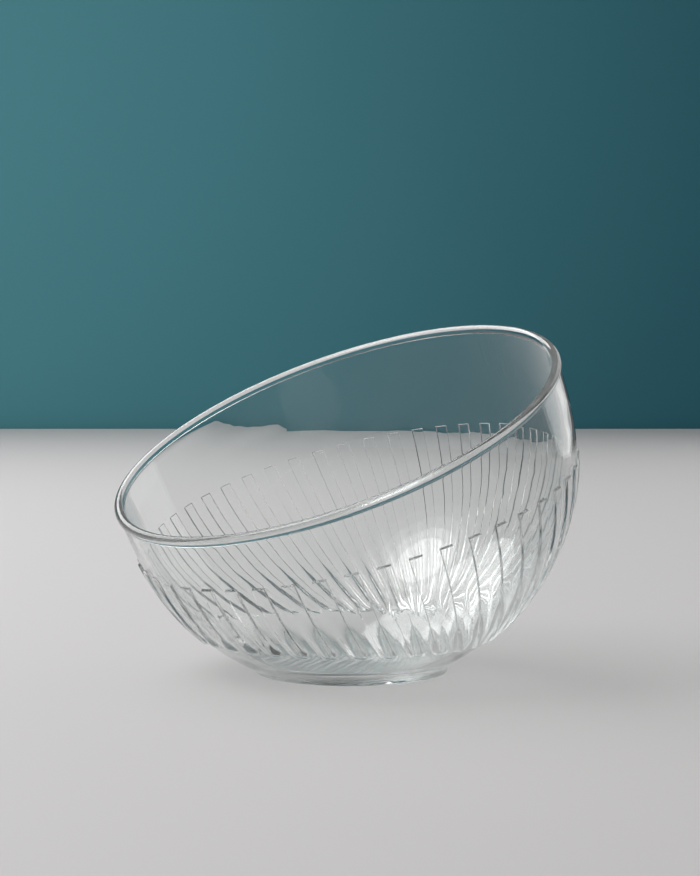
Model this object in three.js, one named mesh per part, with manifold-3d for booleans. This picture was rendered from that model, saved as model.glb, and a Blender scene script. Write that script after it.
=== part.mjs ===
import * as THREE from 'three';
import { mergeVertices } from 'three/addons/utils/BufferGeometryUtils.js';
import Module from 'manifold-3d';

// Nut bowl: one piece of clear pressed glass that leans forward, with its flat foot level on the table.
// Millimetres, +Z up. The origin is the middle of the foot, on the table, and the low side of the rim faces -Y.

// Ball: the outside of the bowl is a ball below its middle and a short collar above it. The ball is cut off
// level at the table, and its middle lies forward of the foot's.
const BALL_RADIUS = 59.5;
const BALL_CUT = 4;
const BALL_CENTRE_FORWARD = 1.8;

// Wall: as thick all over, down to a level floor with a fillet round it.
const WALL = 2.1;
const FLOOR_HEIGHT = 4;
const FLOOR_FILLET = 10;

// Rim: the collar widens a little up to a round bead, which is flush inside and a little proud outside. Both are
// square to an axis that leans towards -Y.
const LEAN_DEGREES = 25.6;
const RIM_RISE = 8.4;
const COLLAR_FLARE = 0.5;
const BEAD_PROUD = 0.5;

// Ribs: raised bars that run down the ball towards its pole and stop short of the foot.
const RIB_COUNT = 48;
const RIB_WIDTH = 3.35;
const RIB_HEIGHT = 0.7;
const RIB_TOP_LEAN_DEGREES = 18.5;
const RIB_TOP_DROP = 11.75;
const RIB_END_HEIGHT = 9.2;

// Foot: a low round disc that widens the flat cut under the ball.
const FOOT_RADIUS = 25;
const FOOT_EDGE_RADIUS = 0.8;

// How far a joined shape reaches into the glass, and how far a cut runs past it.
const BURIED = 0.6;
const PAST = 5;

// Facets: one to a rib pitch, so that each rib stands in the middle of one.
const AROUND = RIB_COUNT;
const BALL_ROWS = 12;
const HOLLOW_ROWS = 8;
const BEAD_ROWS = 6;
const EDGE_ROWS = 3;
const FILLET_ROWS = 4;

const lean = THREE.MathUtils.degToRad(LEAN_DEGREES);
const ribTopLean = THREE.MathUtils.degToRad(RIB_TOP_LEAN_DEGREES);
const ballCentre = new THREE.Vector3(0, -BALL_CENTRE_FORWARD, BALL_RADIUS - BALL_CUT);
const hollowRadius = BALL_RADIUS - WALL;
const beadRadius = (WALL + BEAD_PROUD) / 2;
const ribOuterRadius = BALL_RADIUS + RIB_HEIGHT;
const roomy = 4 * ribOuterRadius;

const wasm = await Module();
wasm.setup();

// A closed solid from a geometry: corners that meet are merged, and triangles that shrank to nothing are dropped.
function solidFrom(geometry, matrix) {
  const bare = geometry.clone();
  bare.deleteAttribute('normal');
  bare.deleteAttribute('uv');
  bare.applyMatrix4(matrix);
  const merged = mergeVertices(bare, 1e-4);
  const corners = merged.index.array;
  const triangles = [];
  for (let i = 0; i < corners.length; i += 3) {
    const [a, b, c] = corners.slice(i, i + 3);
    if (a !== b && b !== c && c !== a) triangles.push(a, b, c);
  }
  return new wasm.Manifold(new wasm.Mesh({
    numProp: 3,
    vertProperties: Float32Array.from(merged.attributes.position.array),
    triVerts: Uint32Array.from(triangles),
  }));
}

function geometryFrom(solid) {
  const { vertProperties, triVerts } = solid.getMesh();
  const geometry = new THREE.BufferGeometry();
  geometry.setAttribute('position', new THREE.BufferAttribute(vertProperties, 3));
  geometry.setIndex(new THREE.BufferAttribute(triVerts, 1));
  geometry.computeVertexNormals();
  return geometry;
}

// A frame that stands at a point, with its Z axis leaning towards -Y.
function leaning(angle, point) {
  return new THREE.Matrix4().makeRotationX(angle).setPosition(point);
}

// A profile of radius and height turned round the Z axis of a frame, with a facet in the middle of the -Y side.
function turned(path, frame) {
  const lathe = new THREE.LatheGeometry(path, AROUND, -Math.PI / AROUND);
  return solidFrom(lathe, frame.clone().multiply(new THREE.Matrix4().makeRotationX(Math.PI / 2)));
}

// Points on an arc in a profile, from one angle to another, in degrees.
function arc(x, y, radius, from, to, rows) {
  const points = [];
  for (let i = 0; i <= rows; i += 1) {
    const angle = THREE.MathUtils.degToRad(from + (to - from) * i / rows);
    points.push(new THREE.Vector2(Math.abs(x + radius * Math.cos(angle)), y + radius * Math.sin(angle)));
  }
  return points;
}

function box(width, depth, height, frame) {
  return solidFrom(new THREE.BoxGeometry(width, depth, height), frame);
}

const bowlFrame = leaning(lean, ballCentre);

// Wall: ball, collar, bead and hollow in one profile, turned round the leaning axis.
function wall() {
  const beadMiddle = hollowRadius + COLLAR_FLARE + beadRadius;
  const neck = -THREE.MathUtils.radToDeg(Math.acos((BALL_RADIUS + COLLAR_FLARE - beadMiddle) / beadRadius));
  return turned([
    ...arc(0, 0, BALL_RADIUS, -90, 0, BALL_ROWS),
    ...arc(beadMiddle, RIM_RISE, beadRadius, neck, 180, BEAD_ROWS),
    ...arc(0, 0, hollowRadius, 0, -90, HOLLOW_ROWS),
  ], bowlFrame);
}

// Floor: the bottom of the hollow is filled up to a level face, with a fillet that runs out into the hollow.
function floor() {
  const filletDrop = ballCentre.z - FLOOR_HEIGHT - FLOOR_FILLET;
  const flatRadius = Math.sqrt((hollowRadius - FLOOR_FILLET) ** 2 - filletDrop ** 2);
  const runOut = THREE.MathUtils.radToDeg(Math.atan2(flatRadius, filletDrop)) - 90;
  const level = new THREE.Matrix4().setPosition(ballCentre);
  return turned([
    ...arc(0, 0, hollowRadius + WALL / 2, -90, runOut, HOLLOW_ROWS),
    ...arc(flatRadius, -filletDrop, FLOOR_FILLET, runOut, -90, FILLET_ROWS),
    new THREE.Vector2(0, FLOOR_HEIGHT - ballCentre.z),
  ], level);
}

// Foot: a disc with a small round at its lower edge, as deep as the floor allows.
function foot() {
  const top = FLOOR_HEIGHT - BURIED;
  return turned([
    new THREE.Vector2(0, 0),
    ...arc(FOOT_RADIUS - FOOT_EDGE_RADIUS, FOOT_EDGE_RADIUS, FOOT_EDGE_RADIUS, -90, 0, EDGE_ROWS),
    new THREE.Vector2(FOOT_RADIUS, top),
    new THREE.Vector2(0, top),
  ], new THREE.Matrix4());
}

// Ribs: a skin over the ball, kept where wedges that point at the axis cross it, between a leaning
// plane at their tops and a level plane at their lower ends.
function ribs() {
  const halfWedge = RIB_WIDTH / BALL_RADIUS / 2;
  const hub = BALL_RADIUS / RIB_COUNT;
  const reach = ribOuterRadius + PAST;
  const star = new THREE.Shape();
  for (let i = 0; i < RIB_COUNT; i += 1) {
    const middle = 2 * Math.PI * i / RIB_COUNT;
    const corners = [[hub, -1], [reach, -1], [reach, 1], [hub, 1]];
    for (const [radius, side] of corners) {
      const angle = middle + side * halfWedge;
      const place = [radius * Math.cos(angle), radius * Math.sin(angle)];
      if (star.currentPoint.length() === 0) star.moveTo(...place);
      else star.lineTo(...place);
    }
  }
  star.closePath();
  const wedges = new THREE.ExtrudeGeometry(star, { depth: reach, bevelEnabled: false });
  const skin = turned([
    ...arc(0, 0, ribOuterRadius, -90, 0, BALL_ROWS),
    ...arc(0, 0, BALL_RADIUS - BURIED, 0, -90, BALL_ROWS),
  ], bowlFrame);
  const wedgeFrame = bowlFrame.clone().multiply(new THREE.Matrix4().makeTranslation(0, 0, -reach));
  const belowTops = leaning(ribTopLean, ballCentre)
    .multiply(new THREE.Matrix4().makeTranslation(0, 0, -RIB_TOP_DROP - roomy / 2));
  const aboveEnds = new THREE.Matrix4().makeTranslation(0, 0, RIB_END_HEIGHT + roomy / 2);
  return skin
    .intersect(solidFrom(wedges, wedgeFrame))
    .intersect(box(roomy, roomy, roomy, belowTops))
    .intersect(box(roomy, roomy, roomy, aboveEnds));
}

const underTable = new THREE.Matrix4().makeTranslation(0, 0, -roomy / 2);
const glass = wall()
  .add(floor())
  .add(foot())
  .add(ribs())
  .subtract(box(roomy, roomy, roomy, underTable));

const clearGlass = new THREE.MeshStandardMaterial({
  color: 0xdfe9e7,
  roughness: 0.03,
  metalness: 0,
  transparent: true,
  opacity: 0.35,
});

const bowl = new THREE.Mesh(geometryFrom(glass), clearGlass);
bowl.name = 'glass_bowl';

const nutBowl = new THREE.Group();
nutBowl.add(bowl);

export default nutBowl;
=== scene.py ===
import math

import bpy
import numpy as np
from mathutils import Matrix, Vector


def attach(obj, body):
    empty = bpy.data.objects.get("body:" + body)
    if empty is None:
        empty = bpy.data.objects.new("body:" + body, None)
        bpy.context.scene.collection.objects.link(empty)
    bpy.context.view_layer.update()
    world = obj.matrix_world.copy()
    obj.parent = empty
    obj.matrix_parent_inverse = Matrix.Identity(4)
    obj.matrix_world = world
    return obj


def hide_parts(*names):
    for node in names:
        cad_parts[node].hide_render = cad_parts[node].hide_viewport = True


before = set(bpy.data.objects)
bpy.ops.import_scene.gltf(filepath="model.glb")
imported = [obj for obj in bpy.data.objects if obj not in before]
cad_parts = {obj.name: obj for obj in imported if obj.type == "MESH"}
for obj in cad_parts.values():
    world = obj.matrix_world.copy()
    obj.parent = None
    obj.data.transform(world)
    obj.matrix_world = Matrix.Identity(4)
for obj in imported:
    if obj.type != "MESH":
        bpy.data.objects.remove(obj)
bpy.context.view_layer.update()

# Glass bowl: one gob of clear soda glass pressed in a mould, with raised ribs on the outside of a ball that
# leans forward. The rim is fire polished to a round bead, and the ball is cut off level at a low foot.
# It is one piece, so nothing is fixed to it, and it stands loose on its foot.
CENTRE = np.array([0.0, -0.0018, 0.0555])
BALL = 0.0593
WALL = 0.0021
HOLLOW = BALL - WALL
LEAN = math.radians(25.6)
RIM_RISE = 0.0084
COLLAR_FLARE = 0.0005
SWELL = 0.0011
SWELL_FROM = math.radians(82.3)
SWELL_SPAN = math.radians(15.98)
NECK = math.radians(96.9)
BEAD_PROUD = 0.0005
BEAD = (WALL + BEAD_PROUD) / 2
BEAD_FROM = math.radians(-50.42)
FLOOR = 0.004
FLOOR_FILLET = 0.01
FOOT = 0.025
FOOT_EDGE = 0.0008
FOOT_FILLET = 0.002
FOOT_BAND = 0.004
RIBS = 48
RIB_WIDTH = 0.00335
RIB_HEIGHT = 0.0007
RIB_TOP_LEAN = math.radians(18.5)
RIB_TOP_DROP = 0.01175
RIB_TOP_SLOPE = 0.0003
RIB_END = 0.0092
RIB_END_SLOPE = 0.003
RIB_END_SHARE = 1.2
RIB_END_ROUND = 0.75
SHOULDER = 0.0015
SHOULDER_ROOM = 0.9
STEP = 0.06
CRISP_AT_END = 0.08
SOFT_PART = 0.72

axis = np.array([0.0, -math.sin(LEAN), math.cos(LEAN)])
across = np.array([1.0, 0.0, 0.0])
upward = np.array([0.0, math.cos(LEAN), math.sin(LEAN)])
level = np.array([0.0, 0.0, 1.0])

# Columns: the middle of a rib, both of its edges and the middle of the gap, for each rib in turn.
# Across an edge runs a crisp step in the middle of a soft shoulder.
pitch = 2 * math.pi / RIBS
half_rib = RIB_WIDTH / BALL / 2
edge = [-1.0, -0.5, -2 * STEP, -STEP, -STEP / 3, STEP / 3, STEP, 2 * STEP, 0.5, 1.0]
stations = [(-1, place, 0) for place in reversed(edge)] + [(1, -1.0, 1)]
stations += [(1, place, 0) for place in edge] + [(1, 1.0, 2)]
side, on_edge, middle = (np.tile(column, RIBS) for column in np.array(stations).T)
ribs_at = np.repeat(pitch * np.arange(RIBS), len(stations))
on_step = np.clip(on_edge / STEP, -1, 1)
step = on_step * (3 - on_step ** 2) / 2
step_slope = 1.5 * (1 - on_step ** 2) / STEP
soft = on_edge * (15 - 10 * on_edge ** 2 + 3 * on_edge ** 4) / 8
soft_slope = 15 * (1 - on_edge ** 2) ** 2 / 8


def shoulder(reach):
    """The turn from each rib's edge to the end of its shoulder, at a distance from the leaning axis."""
    room = np.where(on_edge < 0, half_rib, pitch / 2 - half_rib)
    return np.minimum(SHOULDER / reach, SHOULDER_ROOM * room)


def heading(reach):
    """The turn of each column round the leaning axis, at a distance from that axis."""
    turn = half_rib + on_edge * shoulder(reach)
    turn = np.where(middle == 1, 0.0, np.where(middle == 2, pitch / 2, turn))
    return ribs_at + side * turn


def outward(turn):
    """The directions straight out from the leaning axis."""
    return np.outer(np.sin(turn), across) - np.outer(np.cos(turn), upward)


def plane_angle(normal, offset):
    """The angle from the leaning pole at which each column meets a plane."""
    along = -axis @ normal
    out = outward(columns) @ normal
    turn = np.mod(np.arctan2(out, along), 2 * math.pi)
    return turn - np.arccos(offset / BALL / np.hypot(along, out))


def smooth(t):
    """A share from 0 to 1 that starts and ends gently."""
    return t * t * (3 - 2 * t)


def swell(theta):
    """How far the wall stands out of the ball towards the rim, at an angle from the pole, and its slope."""
    rise = np.maximum(theta - SWELL_FROM, 0) / SWELL_SPAN
    return SWELL * rise ** 3, 3 * SWELL / SWELL_SPAN * rise ** 2


def on_ball(theta, share=0.0, climb=0.0, crisp=1.0):
    """Points and normals on the ball at an angle from its pole, with a share of the ribs' height."""
    reach = BALL * np.sin(theta)
    turn = heading(reach)
    out = outward(turn)
    sine, cosine = np.sin(theta)[:, None], np.cos(theta)[:, None]
    straight = sine * out - cosine * axis
    lift = 0.5 - crisp / 2 * step - (1 - crisp) / 2 * soft
    slope = crisp / 2 * step_slope + (1 - crisp) / 2 * soft_slope
    fall = RIB_HEIGHT * share * slope * side / reach / shoulder(reach)
    aside = np.outer(np.cos(turn), across) + np.outer(np.sin(turn), upward)
    normal = straight + fall[:, None] * aside
    proud, spread = swell(theta)
    rising = (RIB_HEIGHT * climb * lift + spread) / (BALL + proud)
    normal -= rising[:, None] * (cosine * out + sine * axis)
    points = CENTRE + (BALL + proud + RIB_HEIGHT * share * lift)[:, None] * straight
    return points, normal / np.linalg.norm(normal, axis=1)[:, None]


def in_hollow(points):
    """Points of the ball-shaped hollow moved out with the wall, and their normals."""
    straight = (points - CENTRE) / HOLLOW
    theta = np.arccos(-straight @ axis)
    proud, spread = swell(theta)
    along = (axis + np.cos(theta)[:, None] * straight) / np.sin(theta)[:, None]
    normal = (spread / (HOLLOW + proud))[:, None] * along - straight
    return CENTRE + (HOLLOW + proud)[:, None] * straight, normal / np.linalg.norm(normal, axis=1)[:, None]


def on_axis(radius, rise):
    """A ring of points square to the leaning axis."""
    return CENTRE + radius * straight_out + rise * axis


columns = heading(BALL)
count = len(columns)
straight_out = outward(columns)
rows = []

# Foot: a low disc with a round lower edge, blended into the ball. Its normals come from the mesh below.
band_top = plane_angle(level, FOOT_BAND - CENTRE[2])
around = on_ball(band_top)[0][:, :2]
around /= np.linalg.norm(around, axis=1)[:, None]
for t in np.linspace(0, 1, 12):
    z = FOOT_BAND * t * t
    ring = BALL ** 2 - (z - CENTRE[2]) ** 2
    ball_reach = CENTRE[1] * around[:, 1] + np.sqrt(ring - (CENTRE[1] * around[:, 0]) ** 2)
    blend = np.maximum(FOOT_FILLET - np.abs(ball_reach - FOOT), 0) ** 2 / (4 * FOOT_FILLET)
    round_off = FOOT_EDGE - math.sqrt(FOOT_EDGE ** 2 - max(FOOT_EDGE - z, 0) ** 2)
    radius = np.maximum(ball_reach, FOOT) + blend - round_off
    place = np.column_stack([around * radius[:, None], np.full(count, z)])
    rows.append((place, np.full((count, 3), np.nan)))

# Ribs: from rounded lower ends above the foot, where they are highest and their edges are soft, up to
# square and crisp tops.
into_rib = np.where(middle == 1, 0.0, np.clip(RIB_END_ROUND + (1 - RIB_END_ROUND) * on_edge, 0, 1))
rib_end = plane_angle(level, RIB_END - CENTRE[2])
rib_end += RIB_WIDTH / 2 / BALL * (1 - np.sqrt(1 - into_rib ** 2)) * np.sin(rib_end)
rib_top = plane_angle(np.array([0.0, -math.sin(RIB_TOP_LEAN), math.cos(RIB_TOP_LEAN)]), -RIB_TOP_DROP)
half_end, half_top = RIB_END_SLOPE / BALL / 2, RIB_TOP_SLOPE / BALL / 2
for t in np.linspace(0, 1, 5)[1:]:
    rows.append(on_ball(band_top + (rib_end - half_end - band_top) * t))
for t in np.linspace(0, 1, 7)[1:]:
    climb = RIB_END_SHARE * 3 * t * (1 - t) / half_end
    share = RIB_END_SHARE * smooth(t)
    rows.append(on_ball(rib_end + half_end * (2 * t - 1), share, climb, CRISP_AT_END))
for t in np.linspace(0, 1, 22)[1:]:
    up = min(t / SOFT_PART, 1)
    crisp = CRISP_AT_END + (1 - CRISP_AT_END) * smooth(up)
    share = RIB_END_SHARE + (1 - RIB_END_SHARE) * smooth(up)
    low, high = rib_end + half_end, rib_top - half_top
    climb = (1 - RIB_END_SHARE) * 6 * up * (1 - up) / SOFT_PART / (high - low)
    rows.append(on_ball(low + (high - low) * t, share, climb, crisp))
for t in np.linspace(0, 1, 6)[1:]:
    rows.append(on_ball(rib_top + half_top * (2 * t - 1), smooth(1 - t), -3 * t * (1 - t) / half_top))

# Rim: above the ribs the wall swells a little out of the ball up to the bead.
for t in np.linspace(0, 1, 11)[1:]:
    rows.append(on_ball(rib_top + half_top + (NECK - rib_top - half_top) * t))
bead_middle = HOLLOW + COLLAR_FLARE + BEAD
for turn in np.linspace(BEAD_FROM, math.pi, 13):
    place = on_axis(bead_middle + BEAD * math.cos(turn), RIM_RISE + BEAD * math.sin(turn))
    rows.append((place, math.cos(turn) * straight_out + math.sin(turn) * axis))
rim_turn = SWELL_FROM + SWELL_SPAN - math.pi / 2
for turn in np.linspace(rim_turn, 0, 5)[1:]:
    rows.append(in_hollow(on_axis(HOLLOW * math.cos(turn), HOLLOW * math.sin(turn))))

# Hollow: rings whose planes turn from the rim's lean to level, a fillet and a flat floor.
fillet_rise = CENTRE[2] - FLOOR - FLOOR_FILLET
floor_radius = math.sqrt((HOLLOW - FLOOR_FILLET) ** 2 - fillet_rise ** 2)
fillet_turn = math.atan2(floor_radius, fillet_rise)
hinge_reach = HOLLOW * math.cos(fillet_turn) / math.sin(LEAN)
for t in np.linspace(0, 1, 13)[1:]:
    depth = HOLLOW * math.sin((math.pi / 2 - fillet_turn) * t)
    lean = LEAN - math.asin(depth / hinge_reach)
    ring_middle = CENTRE - depth * np.array([0.0, -math.sin(lean), math.cos(lean)])
    rising = np.array([0.0, math.cos(lean), math.sin(lean)])
    out = np.outer(np.sin(columns), across) - np.outer(np.cos(columns), rising)
    ring = ring_middle + math.sqrt(HOLLOW ** 2 - depth ** 2) * out
    rows.append(in_hollow(ring))
floor_middle = np.array([0.0, CENTRE[1], FLOOR])
level_out = np.column_stack([np.sin(columns), -np.cos(columns), np.zeros(count)])
for t in np.linspace(1, 0, 8)[1:]:
    turn = fillet_turn * t
    rise = FLOOR_FILLET * (1 - math.cos(turn))
    place = floor_middle + (floor_radius + FLOOR_FILLET * math.sin(turn)) * level_out + rise * level
    rows.append((place, math.cos(turn) * level - math.sin(turn) * level_out))

points = np.vstack([np.zeros((1, 3)), *(row for row, _ in rows), floor_middle[None, :]])
normals = np.vstack([-level[None, :], *(normal for _, normal in rows), level[None, :]])
last = len(points) - 1
faces = []
for i in range(count):
    j = (i + 1) % count
    faces.append((0, 1 + j, 1 + i))
    for row in range(len(rows) - 1):
        low, high = 1 + row * count, 1 + (row + 1) * count
        faces.append((low + i, low + j, high + j, high + i))
    faces.append((last - count + i, last - count + j, last))
mesh = bpy.data.meshes.new("glass_bowl_shape")
mesh.from_pydata(points.tolist(), [], faces)
mesh.polygons.foreach_set("use_smooth", [True] * len(mesh.polygons))
mesh.update()
plain = np.empty(3 * len(points))
mesh.vertex_normals.foreach_get("vector", plain)
normals = np.where(np.isnan(normals), plain.reshape(-1, 3), normals)
mesh.normals_split_custom_set_from_vertices(normals.tolist())
bowl = bpy.data.objects.new("bowl_glass", mesh)
bpy.context.collection.objects.link(bowl)

# The glass is faintly wavy from the mould and scuffed where the foot has stood. Lamps shine through it, and
# it takes up a little light along the way, which shows in the rim, the foot and the rib edges.
glass = bpy.data.materials.new("clear_pressed_glass")
glass.use_nodes = True
nodes, links = glass.node_tree.nodes, glass.node_tree.links
nodes.clear()
output = nodes.new("ShaderNodeOutputMaterial")
shader = nodes.new("ShaderNodeBsdfPrincipled")
shader.inputs["Base Color"].default_value = (0.98, 0.995, 0.99, 1)
shader.inputs["Transmission Weight"].default_value = 1.0
shader.inputs["IOR"].default_value = 1.5
place = nodes.new("ShaderNodeTexCoord")
waves = nodes.new("ShaderNodeTexNoise")
waves.inputs["Scale"].default_value = 55.0
waves.inputs["Detail"].default_value = 1.5
bump = nodes.new("ShaderNodeBump")
bump.inputs["Strength"].default_value = 0.12
bump.inputs["Distance"].default_value = 0.0006
links.new(place.outputs["Object"], waves.inputs["Vector"])
links.new(waves.outputs["Fac"], bump.inputs["Height"])
links.new(bump.outputs["Normal"], shader.inputs["Normal"])
height = nodes.new("ShaderNodeSeparateXYZ")
links.new(place.outputs["Object"], height.inputs["Vector"])
grain = nodes.new("ShaderNodeTexNoise")
grain.inputs["Scale"].default_value = 900.0
grain.inputs["Detail"].default_value = 4.0
links.new(place.outputs["Object"], grain.inputs["Vector"])
worn = nodes.new("ShaderNodeMapRange")
worn.inputs["From Min"].default_value = 0.0006
worn.inputs["From Max"].default_value = 0.0
worn.inputs["To Max"].default_value = 0.35
links.new(height.outputs["Z"], worn.inputs["Value"])
scuff = nodes.new("ShaderNodeMath")
scuff.operation = "MULTIPLY"
links.new(worn.outputs["Result"], scuff.inputs[0])
links.new(grain.outputs["Fac"], scuff.inputs[1])
links.new(scuff.outputs["Value"], shader.inputs["Roughness"])
let_through = nodes.new("ShaderNodeBsdfTransparent")
let_through.inputs["Color"].default_value = (0.89, 0.9, 0.895, 1)
path = nodes.new("ShaderNodeLightPath")
lit = nodes.new("ShaderNodeMath")
lit.operation = "MAXIMUM"
links.new(path.outputs["Is Shadow Ray"], lit.inputs[0])
links.new(path.outputs["Is Diffuse Ray"], lit.inputs[1])
mix = nodes.new("ShaderNodeMixShader")
links.new(lit.outputs["Value"], mix.inputs[0])
links.new(shader.outputs["BSDF"], mix.inputs[1])
links.new(let_through.outputs["BSDF"], mix.inputs[2])
links.new(mix.outputs["Shader"], output.inputs["Surface"])
body = nodes.new("ShaderNodeVolumeAbsorption")
body.inputs["Color"].default_value = (0.5, 0.517, 0.513, 1)
body.inputs["Density"].default_value = 21.0
links.new(body.outputs["Volume"], output.inputs["Volume"])
mesh.materials.append(glass)

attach(bowl, "root")
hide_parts("glass_bowl")

# Floor: a plain pale table top, a hair under the foot, which ends well behind the bowl.
VIEW_TURN = math.radians(48.77)
TABLE_GAP = 0.00005
bpy.ops.mesh.primitive_plane_add(size=1)
table = bpy.context.object
table.name = "table_top"
table.scale = (3.0, 2.9, 1)
table.location = (0, 0, -TABLE_GAP)
table.rotation_euler = (0, 0, VIEW_TURN)
paint = bpy.data.materials.new("pale_table")
paint.use_nodes = True
paint.node_tree.nodes["Principled BSDF"].inputs["Base Color"].default_value = (0.57, 0.556, 0.556, 1)
paint.node_tree.nodes["Principled BSDF"].inputs["Roughness"].default_value = 0.8
table.data.materials.append(paint)

# Backdrop: a cool board behind the table, with painted light: its colour is painted paler on the side
# towards the window lamp and darker away from it, as window light falling off across it.
BOARD_AWAY = 1.46
BOARD_LEFT = 0.35
BOARD_MIDDLE = 0.2
bpy.ops.mesh.primitive_plane_add(size=1)
board = bpy.context.object
board.name = "backdrop"
board.scale = (1.7, 0.75, 1)
board.rotation_euler = (math.radians(90), 0, VIEW_TURN)
away = Vector((-math.sin(VIEW_TURN), math.cos(VIEW_TURN), 0))
to_right = Vector((math.cos(VIEW_TURN), math.sin(VIEW_TURN), 0))
board.location = BOARD_AWAY * away - BOARD_LEFT * to_right + Vector((0, 0, BOARD_MIDDLE))
board_paint = bpy.data.materials.new("board_with_painted_light")
board_paint.use_nodes = True
nodes, links = board_paint.node_tree.nodes, board_paint.node_tree.links
place = nodes.new("ShaderNodeTexCoord")
sideways = nodes.new("ShaderNodeSeparateXYZ")
shade = nodes.new("ShaderNodeMapRange")
shade.inputs["From Max"].default_value = 0.4
# Painted light: the board's colour runs from pale on the window side to dark on the far side.
painted_light_colour = nodes.new("ShaderNodeMix")
painted_light_colour.data_type = "RGBA"
painted_light_colour.inputs["A"].default_value = (0.078, 0.275, 0.32, 1)
painted_light_colour.inputs["B"].default_value = (0.028, 0.155, 0.2, 1)
links.new(place.outputs["Object"], sideways.inputs["Vector"])
links.new(sideways.outputs["X"], shade.inputs["Value"])
links.new(shade.outputs["Result"], painted_light_colour.inputs["Factor"])
links.new(painted_light_colour.outputs["Result"], nodes["Principled BSDF"].inputs["Base Color"])
nodes["Principled BSDF"].inputs["Roughness"].default_value = 0.9
board.data.materials.append(board_paint)

# Light: a large soft lamp from the side like a window, brightest in its middle, a soft one overhead, a weak
# one far behind on the right like a pale card, and a dim room. Each lamp has a place, a width and watts.
LAMP_TARGET = Vector((0, 0, 0.04))
LIGHT_BOUNCES = 30
world = bpy.data.worlds.new("plain_room")
bpy.context.scene.world = world
world.use_nodes = True
world.node_tree.nodes["Background"].inputs["Color"].default_value = (0.75, 0.76, 0.77, 1)
world.node_tree.nodes["Background"].inputs["Strength"].default_value = 0.14
for name, place, size, power in (
    ("window_middle", (-0.265, -0.645, 0.97), 0.5, 2.4),
    ("window_inner", (-0.27, -0.66, 0.99), 0.75, 2.9),
    ("window_outer", (-0.275, -0.675, 1.01), 1.05, 2.3),
    ("window_edge", (-0.28, -0.69, 1.03), 1.4, 1.5),
    ("overhead", (-0.95, -0.05, 1.0), 1.3, 13.6),
    ("card", (-0.15, 1.09, 0.45), 1.0, 1.8),
):
    lamp = bpy.data.lights.new(name, "AREA")
    lamp.shape = "DISK"
    lamp.size = size
    lamp.energy = power
    lamp_object = bpy.data.objects.new(name, lamp)
    lamp_object.location = place
    aim = LAMP_TARGET - lamp_object.location
    lamp_object.rotation_euler = aim.to_track_quat("-Z", "Y").to_euler()
    bpy.context.collection.objects.link(lamp_object)

# Light is followed for long enough that most of it finds its way out of the glass.
bpy.context.scene.cycles.max_bounces = LIGHT_BOUNCES
bpy.context.scene.cycles.glossy_bounces = LIGHT_BOUNCES
bpy.context.scene.cycles.transmission_bounces = LIGHT_BOUNCES

# Camera: at the photograph's viewing angle, from the low side of the rim and round to its right.
VIEW_RISE = math.radians(2.74)
camera = bpy.data.cameras.new("camera")
camera.sensor_fit = "VERTICAL"
camera.sensor_height = 36
camera.lens = 83.93
camera.clip_start = 0.01
camera_object = bpy.data.objects.new("camera", camera)
camera_object.location = (0.3963, -0.3477, 0.0857)
camera_object.rotation_euler = (math.pi / 2 - VIEW_RISE, 0, VIEW_TURN)
bpy.context.collection.objects.link(camera_object)
bpy.context.scene.camera = camera_object

bpy.context.scene.view_settings.view_transform = "Standard"
